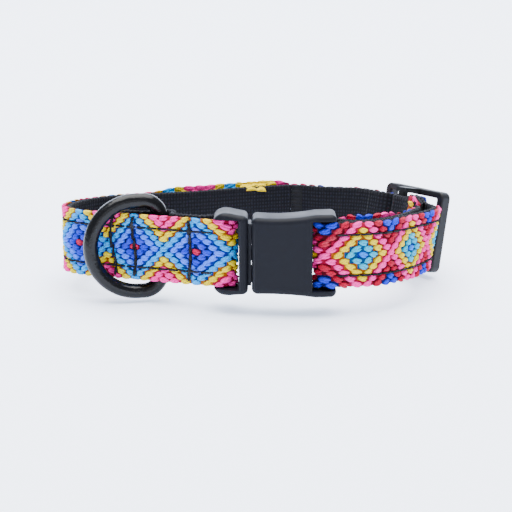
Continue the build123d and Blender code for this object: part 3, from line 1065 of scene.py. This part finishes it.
def dress_right():
    """The doubled loop at the right front and the strap behind the adjuster."""
    dress("loop", "adjusting_loop", "root", 0.0, LOOP.length)
    loop = BANDS["loop"]
    made = long_rows(loop, LOOP_INSIDE + 1.6, LOOP.length, 12)
    made += long_rows(loop, 0.5, LOOP_INSIDE - 10, 13)
    settle(stitched("adjusting_loop_long_rows", loop.strap, made), "root",
           "adjusting_loop_stitching")
    dress("rear_right", "rear_right", REAR, 0.0, REAR_RIGHT.length + SPLIT / 2)
    rear = BANDS["rear_right"]
    settle(stitched("rear_right_long_rows", rear.strap, long_rows(rear, 0.5, rear.finish - 1, 14)),
           REAR, "rear_right_stitching")


def dress_adjuster():
    """The strap over the middle bar, in two halves, and the sewn end round it."""
    band = BANDS["over_bar"]
    middle = band.finish / 2
    halves = (("front", NEAR, 0.0, middle), ("rear", FAR, middle, band.finish))
    for side, move, begin, finish in halves:
        half = Band(band.strap, begin, finish, band.pattern, seed=6)
        settle(webbing("adjuster_weave_" + side, band.strap, begin, finish), move,
               "adjuster_webbing")
        settle(half.knots("adjuster_knots_" + side), move, "adjuster_knotted_band")
        settle(half.bed("adjuster_knot_bed_" + side), move)
        rows = long_rows(half, begin + 0.2, finish, 15)
        settle(stitched("adjuster_long_rows_" + side, band.strap, rows), move)
    end = BANDS["sewn_end"]
    settle(webbing("sewn_end_weave", end.strap, 0.0, end.strap.route.length), NEAR,
           "sewn_end_webbing")
    settle(end.knots("sewn_end_knots"), NEAR, "sewn_end_knotted_band")
    settle(end.bed("sewn_end_knot_bed"), NEAR)
    thread = cross_rows(1.6, end.base, -1, 41)
    settle(stitched("sewn_end_thread", end.strap, thread), NEAR, "sewn_end_stitching")


def finish_plastics():
    """Materials of the hard parts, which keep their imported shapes."""
    finishes = {"buckle_housing": BUCKLE_PLASTIC, "male_clip": BUCKLE_PLASTIC,
                "adjuster_frame": ADJUSTER_PLASTIC, "d_ring": RING_ENAMEL}
    for node, material in finishes.items():
        obj = frame["nodes"][node]
        obj.data.materials.clear()
        obj.data.materials.append(material)


# Set
CAMERA_DISTANCE = 320.0
CAMERA_ELEVATION = 13.0
CAMERA_FOCAL = 1450.0
FRAME_PIXELS = 512
SENSOR = 36.0


def set_camera():
    """A long lens in front of the buckle, a little above the collar's own plane."""
    data = bpy.data.cameras.new("camera")
    data.sensor_width = SENSOR
    data.lens = SENSOR * CAMERA_FOCAL / FRAME_PIXELS
    camera = bpy.data.objects.new("camera", data)
    bpy.context.scene.collection.objects.link(camera)
    way = Vector((0, cos(radians(CAMERA_ELEVATION)), -sin(radians(CAMERA_ELEVATION))))
    turn = FLAT.to_3x3().normalized()
    camera.location = FLAT @ (-CAMERA_DISTANCE * way)
    camera.rotation_euler = (turn @ way).to_track_quat("-Z", "Y").to_euler()
    bpy.context.scene.camera = camera


def area_light(name, place, aim, size, power, colour=(1, 1, 1)):
    """A soft square light."""
    data = bpy.data.lights.new(name, "AREA")
    data.size = size
    data.energy = power
    data.color = colour
    light = bpy.data.objects.new(name, data)
    light.location = place
    light.rotation_euler = (Vector(aim) - Vector(place)).to_track_quat("-Z", "Y").to_euler()
    bpy.context.scene.collection.objects.link(light)


def set_stage():
    """A pale sheet that curves up behind, and soft light from above and all round."""
    profile = [(-0.9, 0.0), (0.6, 0.0)]
    profile += [(0.6 + 0.4 * sin(radians(a)), 0.4 - 0.4 * cos(radians(a))) for a in range(10, 91, 8)]
    profile.append((1.0, 1.2))
    points = [(x, y, z) for y, z in profile for x in (-1.2, 1.2)]
    faces = [(2 * k, 2 * k + 1, 2 * k + 3, 2 * k + 2) for k in range(len(profile) - 1)]
    material, bsdf = shader("pale_sheet", Roughness=0.9, Emission_Strength=1.2)
    bsdf.inputs["Emission Color"].default_value = (0.68, 0.8, 1.0, 1)
    bsdf.inputs["Base Color"].default_value = (0.86, 0.9, 1.0, 1)
    bsdf.inputs["Specular IOR Level"].default_value = 0.1
    piece("sheet_backdrop", points, faces, [material])
    world = bpy.data.worlds.new("studio")
    world.use_nodes = True
    world.node_tree.nodes["Background"].inputs["Color"].default_value = (0.84, 0.9, 1.0, 1)
    world.node_tree.nodes["Background"].inputs["Strength"].default_value = 0.5
    bpy.context.scene.world = world
    area_light("ceiling", (0.0, 0.15, 0.9), (0, 0.15, 0), 1.1, 46.0)
    area_light("front", (0.0, -0.9, 0.25), (0, 0, 0.01), 0.5, 1.5)


dress_left()
finishing_knot()
dress_right()
dress_adjuster()
finish_plastics()
set_camera()
set_stage()
